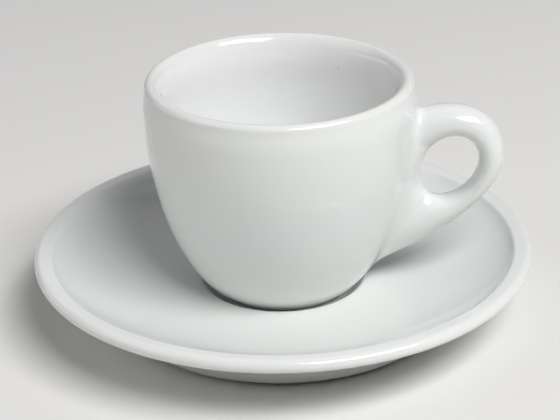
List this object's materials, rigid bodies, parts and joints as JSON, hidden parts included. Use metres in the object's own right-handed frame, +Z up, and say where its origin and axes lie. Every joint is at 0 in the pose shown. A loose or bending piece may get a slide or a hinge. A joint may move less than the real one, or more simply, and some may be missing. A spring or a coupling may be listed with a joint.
{
  "type": "espresso cup with saucer",
  "caption": "Thick-walled white porcelain espresso cup with a pierced ear handle, standing in the well of a wide, shallow saucer with a rolled rim.",
  "frame": {"origin": "on the common axis of the cup and the saucer, at the height of the table that the saucer's foot ring stands on", "axes": "+Z up along that axis, +X out through the middle of the cup's handle, so a finger passes through the handle along Y"},
  "size_m": [0.12, 0.12, 0.0599],
  "materials": {
    "cup_glaze": "clear gloss glaze over white porcelain",
    "handle_glaze": "clear gloss glaze over white porcelain",
    "saucer_glaze": "clear gloss glaze over white porcelain, bare on the foot ring"
  },
  "bodies": {
    "saucer": {"saucer": "saucer_glaze"},
    "cup": {"cup_bowl": "cup_glaze", "cup_handle": "handle_glaze"}
  },
  "joints": [
    {"name": "cup_lift", "type": "slide", "parent": "saucer", "child": "cup", "axis": [0, 0, 1], "range_m": [0, 0.08]}
  ]
}
